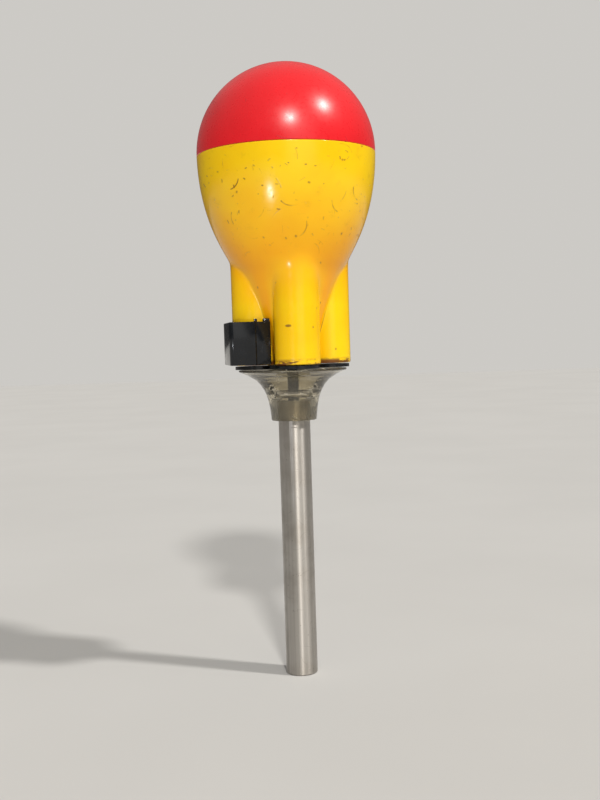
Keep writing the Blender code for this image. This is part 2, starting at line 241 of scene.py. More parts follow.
def block(name, low, high, turn=0.0):
    """A box between two corners, turned about the shaft's axis by an angle in degrees."""
    (x0, y0, z0), (x1, y1, z1) = low, high
    obj = prism(name, [(x0, y0), (x1, y0), (x1, y1), (x0, y1)], z0, z1)
    obj.data.transform(Matrix.Rotation(math.radians(turn), 4, "Z"))
    return obj


def settle(obj):
    """Applies an object's modifiers to its mesh."""
    bpy.context.view_layer.update()
    graph = bpy.context.evaluated_depsgraph_get()
    mesh = bpy.data.meshes.new_from_object(obj.evaluated_get(graph))
    obj.modifiers.clear()
    obj.data = mesh
    return obj


def merge(obj, others, operation, sharp_angle=SHARP_ANGLE):
    """Cuts the others from obj, or joins them to it, and removes them."""
    for other in others:
        boolean = obj.modifiers.new(other.name, "BOOLEAN")
        boolean.operation = operation
        boolean.object = other
        boolean.solver = "EXACT"
    settle(obj)
    for other in others:
        bpy.data.objects.remove(other, do_unlink=True)
    smooth_shading(obj.data, sharp_angle)
    return obj


def place(piece, node, body):
    """The piece stands for a CAD node, whose part it hides, and rides on its body."""
    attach(piece, body)
    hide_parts(node)


# ---------------------------------------------------------------- material helpers

class Graph:
    """A material's node tree, with short calls for the nodes that the surfaces share."""

    def __init__(self, name):
        self.material = bpy.data.materials.new(name)
        self.material.use_nodes = True
        self.tree = self.material.node_tree
        self.shader = self.tree.nodes["Principled BSDF"]
        self.object_point = self.add("ShaderNodeTexCoord").outputs["Object"]

    def add(self, kind, inputs=None, **settings):
        node = self.tree.nodes.new(kind)
        for key, value in settings.items():
            setattr(node, key, value)
        for key, value in (inputs or {}).items():
            self.set(node.inputs[key], value)
        return node

    def set(self, socket, value):
        if isinstance(value, bpy.types.NodeSocket):
            self.tree.links.new(value, socket)
        else:
            socket.default_value = value

    def shade(self, **inputs):
        """Sets the shader's sockets, their names written with underscores."""
        for key, value in inputs.items():
            self.set(self.shader.inputs[key.replace("_", " ")], value)

    def math(self, operation, first, second=0.0, clamp=False):
        node = self.add("ShaderNodeMath", {0: first, 1: second}, operation=operation, use_clamp=clamp)
        return node.outputs["Value"]

    def noise(self, scale, detail=3.0, roughness=0.55, vector=None):
        inputs = {"Scale": scale, "Detail": detail, "Roughness": roughness}
        inputs["Vector"] = vector or self.object_point
        return self.add("ShaderNodeTexNoise", inputs).outputs["Fac"]

    def spread(self, value, low, high, start=0.0, end=1.0):
        """Maps low..high smoothly to start..end."""
        inputs = {"Value": value, "From Min": low, "From Max": high, "To Min": start, "To Max": end}
        return self.add("ShaderNodeMapRange", inputs, interpolation_type="SMOOTHSTEP").outputs["Result"]

    def mix(self, share, first, second):
        """Mixes two colours; the node's sockets are told apart by number, since their names repeat."""
        node = self.add("ShaderNodeMix", data_type="RGBA")
        for socket, value in ((0, share), (6, first), (7, second)):
            self.set(node.inputs[socket], value)
        return node.outputs[2]

    def stretched(self, x, y, z):
        """The object's point scaled along each axis, in metres."""
        node = self.add("ShaderNodeVectorMath", {0: self.object_point, 1: (x, y, z)}, operation="MULTIPLY")
        return node.outputs["Vector"]

    def wrapped(self):
        """The point as its angle round the shaft's axis, from the front, and its height."""
        parts = self.add("ShaderNodeSeparateXYZ", {"Vector": self.object_point})
        forward = self.math("MULTIPLY", parts.outputs["Y"], -1.0)
        return self.math("ARCTAN2", parts.outputs["X"], forward), parts.outputs["Z"]

    def bump(self, height, distance, strength):
        inputs = {"Height": height, "Distance": distance, "Strength": strength}
        return self.add("ShaderNodeBump", inputs).outputs["Normal"]

    def strokes(self, around, up, cell, length, width, share, curve=0.5):
        """Short curved marks, one in some of the cells of a wrapped surface, sized in metres."""
        point = self.add("ShaderNodeCombineXYZ", {"X": around, "Y": up})
        scaled = self.add(
            "ShaderNodeVectorMath", {0: point.outputs[0], 1: (1 / cell,) * 3}, operation="MULTIPLY",
        )
        cells = self.add(
            "ShaderNodeTexVoronoi", {"Vector": scaled.outputs[0], "Scale": 1.0, "Randomness": 1.0},
            voronoi_dimensions="2D",
        )
        ends = {0: scaled.outputs[0], 1: cells.outputs["Position"]}
        offset = self.add("ShaderNodeVectorMath", ends, operation="SUBTRACT")
        draws = self.add("ShaderNodeSeparateColor", {"Color": cells.outputs["Color"]})
        angle = self.math("MULTIPLY", draws.outputs["Red"], 2 * math.pi)
        local = self.add(
            "ShaderNodeVectorRotate", {"Vector": offset.outputs[0], "Angle": angle}, rotation_type="Z_AXIS",
        )
        along_across = self.add("ShaderNodeSeparateXYZ", {"Vector": local.outputs[0]})
        along, across = along_across.outputs["X"], along_across.outputs["Y"]
        bend = self.math("MULTIPLY", self.math("MULTIPLY", along, along), curve / (length / cell))
        across = self.math("ABSOLUTE", self.math("SUBTRACT", across, bend))
        reach = self.math("MULTIPLY", draws.outputs["Blue"], length / cell / 2)
        thin = self.spread(across, width / cell * 0.35, width / cell, 1.0, 0.0)
        past_end = self.math("SUBTRACT", self.math("ABSOLUTE", along), reach)
        short = self.spread(past_end, -0.04, 0.02, 1.0, 0.0)
        chosen = self.math("LESS_THAN", draws.outputs["Green"], share)
        return self.math("MULTIPLY", self.math("MULTIPLY", thin, short), chosen)


# ---------------------------------------------------------------- materials

# Middle of the dark nick on the front lobe, and how far each axis counts towards its size.
NICK = (-0.0009, -0.0184, 0.1105)
NICK_SHAPE = (1.0, 0.3, 2.2)
# Heights over which the orange of painted shade on the lower bulb gives way to the lit lemon, and over which
# the scuffs near the seam grow.
LEMON_START, LEMON_END = 0.128, 0.158
SCUFF_START, SCUFF_END = 0.126, 0.148


def distance_from_lobe(g):
    """The distance in metres from the axis of the nearest of the four lobes."""
    faced = g.add(
        "ShaderNodeVectorRotate", {"Vector": g.object_point, "Angle": -lobe_angle(0)}, rotation_type="Z_AXIS",
    )
    parts = g.add("ShaderNodeSeparateXYZ", {"Vector": faced.outputs[0]})
    along, across = (g.math("ABSOLUTE", parts.outputs[axis]) for axis in ("X", "Y"))
    off = g.math("SUBTRACT", g.math("MAXIMUM", along, across), LOBE_RING_R * MM)
    side = g.math("MINIMUM", along, across)
    return g.math("SQRT", g.math("ADD", g.math("MULTIPLY", off, off), g.math("MULTIPLY", side, side)))


def scuffs(g, around, up):
    """The strong marks, and all the grime and specks with them, on the bulb below the seam; the yellow adds
    its painted shade in the creases to the second.
    """
    near_seam = g.spread(up, SCUFF_START, SCUFF_END)
    below_seam = g.spread(up, (RIM_TOP - 1.6) * MM, (RIM_TOP - 0.3) * MM, 1.0, 0.2)
    long_marks = g.strokes(around, up, 0.0062, 0.0058, 0.00024, 0.55, 0.9)
    hair_marks = g.strokes(g.math("ADD", around, 0.31), up, 0.0043, 0.0036, 0.00015, 0.55, 0.3)
    small_marks = g.strokes(around, up, 0.0024, 0.0012, 0.00026, 0.34, 0.4)
    patchy = g.spread(g.noise(150.0, 3.0), 0.4, 0.62, 0.1, 1.0)
    marks = g.math("MAXIMUM", long_marks, g.math("MULTIPLY", hair_marks, 0.6))
    marks = g.math("MULTIPLY", g.math("MAXIMUM", marks, small_marks), near_seam)
    marks = g.math("MULTIPLY", marks, g.math("MULTIPLY", patchy, below_seam))
    specks = g.strokes(around, up, 0.0068, 0.0008, 0.0005, 0.32, 0.0)
    grime = g.math("MULTIPLY", g.spread(g.noise(210.0, 5.0, 0.7), 0.55, 0.8, 0.0, 0.22), near_seam)
    dirt_and_shade = g.math("MAXIMUM", g.math("MULTIPLY", marks, 0.8), g.math("MULTIPLY", specks, 0.6))
    return marks, g.math("MAXIMUM", dirt_and_shade, grime)


def scraped_feet(g, up):
    """Torn scrapes along the lobes' lower edges, and the nick."""
    foot = g.spread(up, (LOBE_BOTTOM + 0.7) * MM, (LOBE_BOTTOM + 2.1) * MM, 1.0, 0.0)
    torn = g.spread(g.noise(430.0, 4.0, 0.7, g.stretched(0.4, 0.4, 1.0)), 0.43, 0.53)
    nick = g.add("ShaderNodeVectorMath", {0: g.object_point, 1: NICK}, operation="SUBTRACT").outputs["Vector"]
    nick = g.add("ShaderNodeVectorMath", {0: nick, 1: NICK_SHAPE}, operation="MULTIPLY").outputs["Vector"]
    nick = g.add("ShaderNodeVectorMath", {0: nick}, operation="LENGTH").outputs["Value"]
    return g.math("MAXIMUM", g.math("MULTIPLY", foot, torn), g.spread(nick, 0.0006, 0.0012, 0.8, 0.0))


def make_yellow():
    """Golden gloss plastic: lemon where lit, on the bulb and lobes; orange between as painted shade, darker
    still in the creases.
    """
    g = Graph("yellow_plastic")
    turn, up = g.wrapped()
    around = g.math("MULTIPLY", turn, BULB_R * 0.8 * MM)
    from_lobe = distance_from_lobe(g)
    # Painted light: the lit lemon spreads over the lobes up to here, while the cone between them keeps the
    # orange of painted shade.
    past_lobe = g.math("SUBTRACT", from_lobe, (LOBE_R + 0.7) * MM)
    fade = g.spread(up, 0.114, 0.130, 0.0010, 0.0055)
    on_lobe = g.math("SUBTRACT", 0.5, g.math("DIVIDE", past_lobe, fade), clamp=True)
    on_lobe = g.math("MULTIPLY", on_lobe, g.spread(up, 0.121, 0.139, 1.0, 0.0))
    # Painted shade: a dark band along the creases where the lobes leave the cone, fading out upwards.
    crease_shade = g.spread(from_lobe, (LOBE_R + 0.02) * MM, (LOBE_R + 0.12) * MM)
    crease_shade_end = g.spread(from_lobe, (LOBE_R + 0.2) * MM, (LOBE_R + 0.8) * MM, 1.0, 0.0)
    crease_shade = g.math("MULTIPLY", crease_shade, crease_shade_end)
    crease_shade = g.math("MULTIPLY", crease_shade, g.spread(up, 0.110, 0.117, 0.55, 0.0))
    cloud = g.spread(g.noise(45.0, 3.0), 0.35, 0.7)
    # Lit and shaded copies of the yellow: the orange stands for painted shade, the lemon for the lit plastic.
    orange = g.mix(cloud, (0.97, 0.45, 0.003, 1.0), (0.94, 0.39, 0.002, 1.0))
    lemon = g.mix(cloud, (0.96, 0.62, 0.007, 1.0), (0.95, 0.54, 0.005, 1.0))
    base = g.mix(g.math("MAXIMUM", g.spread(up, LEMON_START, LEMON_END), on_lobe), orange, lemon)

    marks, dirt_and_shade = scuffs(g, around, up)
    # The grime and marks of the scuffs, with the painted shade in the creases added.
    dirt_and_shade = g.math("MAXIMUM", dirt_and_shade, crease_shade, clamp=True)
    scrape = scraped_feet(g, up)
    # Dark brown for the grime and marks, and for the painted shade in the creases.
    colour = g.mix(dirt_and_shade, base, (0.13, 0.045, 0.006, 1.0))
    colour = g.mix(g.math("MULTIPLY", scrape, 0.95), colour, (0.13, 0.03, 0.006, 1.0))

    haze = g.spread(g.noise(900.0, 2.0), 0.3, 0.75, 0.16, 0.25)
    rough = g.math("ADD", haze, g.math("MULTIPLY", g.math("MAXIMUM", dirt_and_shade, scrape), 0.35), clamp=True)
    flow = g.noise(120.0, 2.0)
    wear = g.math("SUBTRACT", g.math("MULTIPLY", flow, 0.25), g.math("MAXIMUM", marks, scrape))
    g.shade(Base_Color=colour, Roughness=rough, Normal=g.bump(wear, 0.00005, 0.6))
    g.shade(IOR=1.42)
    return g.material


def make_red():
    """Smooth plastic, rubbed a little hazy by the palm, with fine hairlines."""
    g = Graph("red_plastic")
    turn, up = g.wrapped()
    around = g.math("MULTIPLY", turn, BULB_R * 0.7 * MM)
    cloud = g.spread(g.noise(38.0, 3.0), 0.35, 0.7)
    base = g.mix(cloud, (0.80, 0.013, 0.020, 1.0), (0.72, 0.008, 0.014, 1.0))
    hairlines = g.strokes(around, up, 0.007, 0.006, 0.00013, 0.5)
    colour = g.mix(g.math("MULTIPLY", hairlines, 0.35), base, (0.28, 0.004, 0.006, 1.0))
    haze = g.spread(g.noise(700.0, 2.0), 0.3, 0.75, 0.27, 0.32)
    rough = g.math("ADD", haze, g.math("MULTIPLY", hairlines, 0.2), clamp=True)
    g.shade(Base_Color=colour, Roughness=rough, Normal=g.bump(g.noise(110.0, 2.0), 0.00001, 0.5))
    g.shade(IOR=1.5, Coat_Weight=0.03, Coat_Roughness=0.12)
    g.shade(Sheen_Weight=0.07, Sheen_Roughness=0.4, Sheen_Tint=(1.0, 0.75, 0.78, 1.0))
    return g.material


def make_black(name, roughness):
    """Black moulded gloss plastic, rubbed dull in patches, with fine hairlines."""
    g = Graph(name)
    rubbed = g.spread(g.noise(150.0, 4.0), 0.45, 0.7)
    turn, up = g.wrapped()
    around = g.math("MULTIPLY", turn, 0.018)
    hairlines = g.strokes(around, up, 0.0045, 0.004, 0.00009, 0.5)
    colour = g.mix(rubbed, (0.008, 0.009, 0.011, 1.0), (0.014, 0.016, 0.019, 1.0))
    colour = g.mix(g.math("MULTIPLY", hairlines, 0.4), colour, (0.05, 0.05, 0.055, 1.0))
    rough = g.spread(rubbed, 0.0, 1.0, roughness * 0.8, roughness * 1.25)
    g.shade(Base_Color=colour, Roughness=rough, Normal=g.bump(g.noise(260.0, 2.0), 0.000012, 0.5), IOR=1.42)
    return g.material


def make_clear():
    """Clear plastic, a little yellowed and hazed, with fine scratches."""
    g = Graph("clear_plastic")
    turn, up = g.wrapped()
    around = g.math("MULTIPLY", turn, 0.011)
    scratches = g.strokes(around, up, 0.0035, 0.0034, 0.00012, 0.5)
    cloud = g.spread(g.noise(150.0, 3.0), 0.35, 0.7)
    colour = g.mix(cloud, (0.74, 0.685, 0.55, 1.0), (0.63, 0.57, 0.425, 1.0))
    haze = g.spread(g.noise(420.0, 3.0), 0.35, 0.7, 0.03, 0.09)
    rough = g.math("ADD", haze, g.math("MULTIPLY", scratches, 0.25), clamp=True)
    normal = g.bump(g.math("SUBTRACT", g.noise(90.0, 2.0), scratches), 0.00002, 0.6)
    g.shade(Base_Color=colour, Roughness=rough, Normal=normal, Transmission_Weight=0.94, IOR=1.47)
    return g.material


def make_shaft_steel():
    """Drawn steel tube: fine lengthwise lines, faint stains and small pits."""
    g = Graph("shaft_steel")
    lines = g.noise(1.0, 2.0, 0.5, g.stretched(5200.0, 5200.0, 26.0))
    broad = g.noise(1.0, 2.0, 0.5, g.stretched(900.0, 900.0, 9.0))
    stain = g.spread(g.noise(75.0, 4.0, 0.6), 0.42, 0.72)
    turn, up = g.wrapped()
    around = g.math("MULTIPLY", turn, TUBE_R * MM)
    scratches = g.strokes(around, up, 0.004, 0.004, 0.0001, 0.4)
    pits = g.strokes(around, up, 0.0016, 0.0004, 0.00018, 0.12, 0.0)
    marks = g.math("MAXIMUM", g.math("MULTIPLY", scratches, 0.45), pits)
    base = g.mix(g.spread(broad, 0.3, 0.7), (0.60, 0.57, 0.53, 1.0), (0.50, 0.475, 0.44, 1.0))
    base = g.mix(g.math("MULTIPLY", stain, 0.45), base, (0.34, 0.30, 0.255, 1.0))
    colour = g.mix(g.math("MULTIPLY", marks, 0.6), base, (0.17, 0.15, 0.13, 1.0))
    rough = g.math("ADD", g.spread(lines, 0.25, 0.75, 0.36, 0.46), g.math("MULTIPLY", stain, 0.06))
    around_shaft = g.add("ShaderNodeTangent", direction_type="RADIAL", axis="Z").outputs["Tangent"]
    g.shade(Tangent=around_shaft, Anisotropic=0.85, Anisotropic_Rotation=0.25)
    height = g.math("SUBTRACT", g.math("MULTIPLY", lines, 0.5), marks)
    g.shade(Base_Color=colour, Roughness=rough, Metallic=1.0, Normal=g.bump(height, 0.0000025, 0.7))
    return g.material


def make_metal(name, light, dark, roughness):
    """Small steel parts: machined lines, with oxide in patches."""
    g = Graph(name)
    patch = g.spread(g.noise(380.0, 4.0), 0.35, 0.7)
    lines = g.noise(1.0, 2.0, 0.5, g.stretched(700.0, 700.0, 5200.0))
    rough = g.spread(lines, 0.25, 0.75, roughness * 0.8, roughness * 1.3)
    g.shade(Base_Color=g.mix(patch, (*light, 1.0), (*dark, 1.0)), Roughness=rough, Metallic=1.0)
    g.shade(Normal=g.bump(lines, 0.000006, 0.6))
    return g.material


def make_rubber():
    g = Graph("black_rubber")
    dust = g.spread(g.noise(900.0, 3.0), 0.45, 0.75)
    colour = g.mix(dust, (0.016, 0.016, 0.016, 1.0), (0.045, 0.043, 0.040, 1.0))
    g.shade(Base_Color=colour, Roughness=0.72, Normal=g.bump(g.noise(2500.0, 2.0), 0.00002, 0.6))
    return g.material


YELLOW = make_yellow()
RED = make_red()
BLACK = make_black("black_plastic", 0.16)
CLEAR = make_clear()
SHAFT_STEEL = make_shaft_steel()
BRIGHT_STEEL = make_metal("bright_steel", (0.62, 0.60, 0.57), (0.50, 0.48, 0.45), 0.24)
DARK_STEEL = make_metal("dark_steel", (0.055, 0.062, 0.078), (0.030, 0.034, 0.044), 0.30)
BIT_STEEL = make_metal("bit_steel", (0.10, 0.10, 0.11), (0.06, 0.06, 0.065), 0.34)
RUBBER = make_rubber()
SLOT_MATERIALS = {
    "yellow_plastic": YELLOW, "red_plastic": RED, "black_plastic": BLACK, "clear_plastic": CLEAR,
    "shaft_steel": SHAFT_STEEL, "bright_steel": BRIGHT_STEEL, "dark_steel": DARK_STEEL,
    "bit_steel": BIT_STEEL, "black_rubber": RUBBER,
}


# ---------------------------------------------------------------- handle

def bulb_radius(height):
    """The outer radius: an egg-shaped bulb that runs softly into a slim cone."""
    drop = min(1.0, max(0.0, (BULB_EQUATOR - height) / BULB_DEPTH))
    egg = BULB_R * math.sqrt(1.0 - drop * drop)
    if height > CONE_TOP:
        return egg
    softness = CONE_BLEND * min(1.0, (CONE_TOP - height) / CONE_FADE)
    return smooth_max(egg, CONE_R + CONE_SLOPE * (height - CONE_HEIGHT), softness)


LOBE_SHARE = math.pi / 4


def lobe_turns():
    """Angles from a lobe's middle to its neighbours' borders, dense where its side is steep."""
    steep_steps, flat_steps = 37, 8
    steep = math.degrees(math.acos(-LOBE_R / LOBE_RING_R))
    half = []
    for i in range(steep_steps + 1):
        a = math.radians(steep * i / steep_steps)
        half.append(math.atan2(LOBE_R * math.sin(a), LOBE_RING_R + LOBE_R * math.cos(a)))
    edge = half[-1]
    half += [edge + (LOBE_SHARE - edge) * i / flat_steps for i in range(1, flat_steps)]
    return [-LOBE_SHARE] + [-a for a in reversed(half[1:])] + half


def lobes_radius(near, lobe_r, web):
    """How far a round lobe reaches from the axis at an angle from the lobe's middle."""
    across = LOBE_RING_R * math.sin(near)
    if abs(across) > lobe_r:
        return LOBE_RING_R * math.cos(near) if web else 0.0
    return LOBE_RING_R * math.cos(near) + math.sqrt(lobe_r ** 2 - across ** 2)


def lobed_ring(height, lobe_r, shrink=0.0, web=False):
    """A ring round the lobes: over the bulb and cone, or with a web between the lobes."""
    ring = []
    near_top = min(1.0, max(0.0, (height - LOBE_TOP_START) / LOBE_TOP_FADE))
    for i in range(4):
        for near in lobe_turns():
            share = near_top * (1.0 - (near / LOBE_SHARE) ** 2)
            softness = LOBE_BLEND + (LOBE_TOP_BLENDS[i] - LOBE_BLEND) * share
            radius = lobes_radius(near, lobe_r, web)
            if not web:
                radius = smooth_max(radius, bulb_radius(height), softness)
            ring.append((*ring_point(radius - shrink, lobe_angle(i) + near), height))
    return ring


def make_handle():
    """The bulb, its mouth and the four chamber lobes that grow out of it."""
    foot, rim, rows = 0.45, 0.15, 118
    turns = [lobe_angle(i) + near for i in range(4) for near in lobe_turns()]
    rings = [[(0.0, 0.0, RIM_TOP)]]
    for a in (90.0, 60.0, 30.0, 0.0):
        radius = BULB_R - rim + rim * math.cos(math.radians(a))
        height = RIM_TOP - rim + rim * math.sin(math.radians(a))
        rings.append([(*ring_point(radius, angle), height) for angle in turns])
    top, bottom = RIM_TOP - 0.5, LOBE_BOTTOM + foot
    for row in range(rows + 1):
        height = top + (bottom - top) * row / rows
        fade = min(1.0, max(0.0, (LOBE_END - height) / LOBE_END_FADE))
        plain = bulb_radius(height)
        mixed = []
        for x, y, z in lobed_ring(height, LOBE_R):
            radius = math.hypot(x, y)
            share = (plain + (radius - plain) * fade) / radius
            mixed.append((x * share, y * share, z))
        rings.append(mixed)
    for a in (30.0, 60.0, 90.0):
        turn = math.radians(a)
        rings.append(lobed_ring(bottom - foot * math.sin(turn), LOBE_R, foot * (1 - math.cos(turn))))
    body = loft("handle_shell", rings, YELLOW)

    inner = [(0.0, RIM_TOP + 1.0), (MOUTH_R, RIM_TOP + 1.0), (MOUTH_R, RIM_TOP - 6.5)]
    start, steps = RIM_TOP - 8.5, 40
    heights = [start + (BULB_FLOOR - start) * i / steps for i in range(steps + 1)]
    inner += [(bulb_radius(height) - WALL * 1.2, height) for height in heights]
    inner += [(0.0, BULB_FLOOR)]
    cavity = turned("cavity", inner, sides=FINE)
    screw_hole_r, screw_hole_end = 1.2, 122.0
    holes = [cylinder("hub_bore", HUB_R + GAP, LOBE_BOTTOM - 2.0, BULB_FLOOR + 1.0)]
    for i in range(4):
        centre = ring_point(LOBE_RING_R, lobe_angle(i))
        holes.append(cylinder(f"chamber_{i}", CHAMBER_R, LOBE_BOTTOM - 2.0, BULB_FLOOR + 0.4, centre))
        centre = ring_point(SCREW_RING_R, lobe_angle(i + 0.5))
        hole = cylinder(f"screw_hole_{i}", screw_hole_r, screw_hole_end, BULB_FLOOR + 1.0, centre, sides=24)
        holes.append(hole)
    holes.append(block("key_slot", (-1.6, 24.5, RIM_TOP - 1.45), (1.6, 26.5, RIM_TOP + 2.0)))
    merge(cavity, holes, "UNION")
    merge(body, [cavity], "DIFFERENCE")
    place(body, "handle_body", "handle")


def make_cover():
    """The plate over the chambers, dished between its rim and its middle, and its screws."""
    low, high = COVER_LOW.z, COVER_HIGH.z
    edge_r, middle_r, hole_r = COVER_HIGH.x, 8.4, 4.3
    dish_r, dish = edge_r - 1.4, high - 0.4
    profile = rounded([
        (hole_r, low, 0.0), (edge_r, low, 0.0), (edge_r, high, 0.35), (dish_r, high, 0.2),
        (dish_r, dish, 0.1), (middle_r, dish, 0.1), (middle_r, high, 0.2), (hole_r, high, 0.25),
    ], closed=True)
    cover = turned("chamber_plate", profile, BLACK, closed=True)
    holes = []
    for i in range(4):
        centre = ring_point(SCREW_RING_R, lobe_angle(i + 0.5))
        holes.append(cylinder(f"cover_hole_{i}", 1.3, low - 1.0, high + 1.0, centre, sides=24))
    merge(cover, holes, "DIFFERENCE")
    place(cover, "chamber_cover", "handle")

    for i in range(4):
        node = f"cover_screw_{i + 1}"
        low, high = box_mm(node)
        middle = (low + high) / 2
        head = high.z - 1.3
        profile = rounded([
            (0.0, high.z, 0.0), (1.3, high.z, 0.5), (SCREW_HEAD_R, high.z - 0.6, 0.2),
            (SCREW_HEAD_R, head, 0.1), (SCREW_R, head, 0.05), (SCREW_R, low.z + 1.0, 0.1), (0.0, low.z, 0.0),
        ])
        screw = turned(f"{node}_fine", profile, BRIGHT_STEEL, sides=32, centre=(middle.x, middle.y))
        drives = []
        for turn in (0.0, 90.0):
            drive = block(f"drive_{turn:.0f}", (-0.95, -0.2, high.z - 0.65), (0.95, 0.2, high.z + 1.0), turn)
            drive.data.transform(Matrix.Translation((middle.x * MM, middle.y * MM, 0.0)))
            drives.append(drive)
        merge(screw, drives, "DIFFERENCE")
        place(screw, node, "handle")


# ---------------------------------------------------------------- dome and rod

def make_dome():
    """The palm dome: a thin half-ball with a grooved skirt, and the boss that holds the rod."""
    low = DOME_LOW.z
    seam = RIM_TOP + 0.1
    skirt_r, inner_r, ring_r = MOUTH_R - 0.4, 22.5, 23.7
    groove_top, groove_low = RIM_TOP - 1.45, RIM_TOP - 3.25
    start = math.degrees(math.asin((seam + 0.12 - BULB_EQUATOR) / BULB_R))
    ball = arc((0.0, BULB_EQUATOR), BULB_R, 90.0, start, 49)
    profile = [(0.0, ball[0][1])] + ball[1:]
    profile += [(BULB_R - 0.15, seam)]
    profile += rounded([
        (BULB_R - 0.4, seam, 0.0), (skirt_r, seam, 0.1), (skirt_r, groove_top, 0.1),
        (ring_r, groove_top, 0.1), (ring_r, groove_low, 0.1), (skirt_r, groove_low, 0.1),
        (skirt_r, low, 0.6), (inner_r, low, 0.3), (inner_r, RIM_TOP + 1.15, 0.0),
    ])
    shell_r, boss_r, boss_bottom = BULB_R - WALL, 4.2, 174.0
    first = math.degrees(math.asin(3.0 / shell_r))
    last = math.degrees(math.acos(boss_r / shell_r))
    profile += arc((0.0, BULB_EQUATOR), shell_r, first, last, 25)
    bore_r = ROD_R + GAP
    profile += rounded([
        (boss_r, 180.0, 0.0), (boss_r, boss_bottom, 0.4), (bore_r, boss_bottom, 0.2),
        (bore_r, ROD_HIGH.z + GAP, 0.0), (0.0, ROD_HIGH.z + GAP, 0.0),
    ])
    dome = turned("palm_dome", profile, RED, sides=FINE)
    merge(dome, [block("dome_key", (-1.2, 24.3, RIM_TOP - 1.05), (1.2, 26.1, RIM_TOP + 0.65))], "UNION")
    pin_low, pin_high = box_mm("rod_pin")
    hole = cylinder("pin_hole", PIN_HOLE_R, -6.0, 6.0, sides=24)
    lift = Matrix.Translation((0.0, 0.0, (pin_low.z + pin_high.z) / 2 * MM))
    hole.data.transform(lift @ Matrix.Rotation(math.pi / 2, 4, "Y"))
    merge(dome, [hole], "DIFFERENCE")
    place(dome, "dome_cap", "dome")


def make_friction_ring():
    low, high = box_mm("dome_friction_ring")
    wire = (high.z - low.z) / 2
    section = arc((high.x - wire, (low.z + high.z) / 2), wire, 0.0, 345.0, 24)
    ring = turned("skirt_ring", section, RUBBER, sides=FINE, closed=True)
    place(ring, "dome_friction_ring", "dome")


def make_rod():
    rod = turned("push_rod_fine", rounded([
        (0.0, ROD_HIGH.z, 0.0), (ROD_R, ROD_HIGH.z, 0.3), (ROD_R, ROD_LOW.z, 0.1), (0.0, ROD_LOW.z, 0.0),
    ]), DARK_STEEL, sides=SMALL)
    place(rod, "push_rod", "dome")

    low, high = box_mm("rod_head")
    socket_r, web_bottom, web_top = ROD_R + GAP, 16.1, 18.7
    head = turned("rod_head_fine", rounded([
        (0.0, web_top, 0.0), (socket_r, web_top, 0.05), (socket_r, high.z, 0.1), (high.x, high.z, 0.35),
        (high.x, low.z, 0.25), (socket_r, low.z, 0.1), (socket_r, web_bottom, 0.05), (0.0, web_bottom, 0.0),
    ]), BRIGHT_STEEL, sides=SMALL)
    place(head, "rod_head", "dome")

    low, high = box_mm("bit_magnet")
    magnet = turned("bit_magnet_fine", rounded([
        (0.0, high.z, 0.0), (high.x, high.z, 0.1), (high.x, low.z, 0.15), (0.0, low.z, 0.0),
    ]), DARK_STEEL, sides=SMALL)
    place(magnet, "bit_magnet", "dome")


# ---------------------------------------------------------------- selector, funnel and shaft

def make_gate():
    """The selector plate under the chambers, with its one open hole, and its hub."""
    outline = [(x, y) for x, y, _ in lobed_ring(0.0, LOBE_R - 0.5, web=True)]
    gate = prism("selector_plate", outline, GATE_BOTTOM, GATE_TOP, BLACK)
    centre = ring_point(LOBE_RING_R, lobe_angle(SLIDER_LOBE))
    middle_r, below, above = 3.3, GATE_BOTTOM - 1.0, GATE_TOP + 1.0
    merge(gate, [
        cylinder("gate_middle", middle_r, below, above),
        cylinder("gate_hole", CHAMBER_R, below, above, centre, sides=64),
    ], "DIFFERENCE")
    top, bottom, stop = GATE_HIGH.z, GATE_BOTTOM + 0.2, 109.0
    bore_r, narrow_r, groove_r = 2.9, ROD_R + GAP, HUB_R - 0.5
    groove_top, groove_low = top - 1.2, top - 2.6
    hub = turned("gate_hub", rounded([
        (HUB_R, top, 0.3), (HUB_R, groove_top, 0.05), (groove_r, groove_top, 0.05),
        (groove_r, groove_low, 0.05), (HUB_R, groove_low, 0.05), (HUB_R, bottom, 0.0),
        (bore_r, bottom, 0.0), (bore_r, stop, 0.1), (narrow_r, stop + 0.6, 0.1), (narrow_r, top, 0.2),
    ], closed=True), closed=True)
    merge(gate, [hub], "UNION")
    place(gate, "selector_gate", "selector")


def make_hub_rings():
    low, high = box_mm("hub_washer")
    hole_r = 4.1
    washer = turned("hub_washer_fine", rounded([
        (hole_r, low.z, 0.1), (high.x, low.z, 0.1), (high.x, high.z, 0.2), (hole_r, high.z, 0.15),
    ], closed=True), BRIGHT_STEEL, sides=64, closed=True)
    place(washer, "hub_washer", "selector")

    low, high = box_mm("hub_circlip")
    outer_r, inner_r, first, last = 5.4, 3.5, 115.0, 425.0
    outline = arc((0.0, 0.0), outer_r, first, last, 73) + arc((0.0, 0.0), inner_r, last, first, 73)
    clip = prism("hub_circlip_fine", outline, low.z, high.z, DARK_STEEL, edge=0.12)
    place(clip, "hub_circlip", "selector")


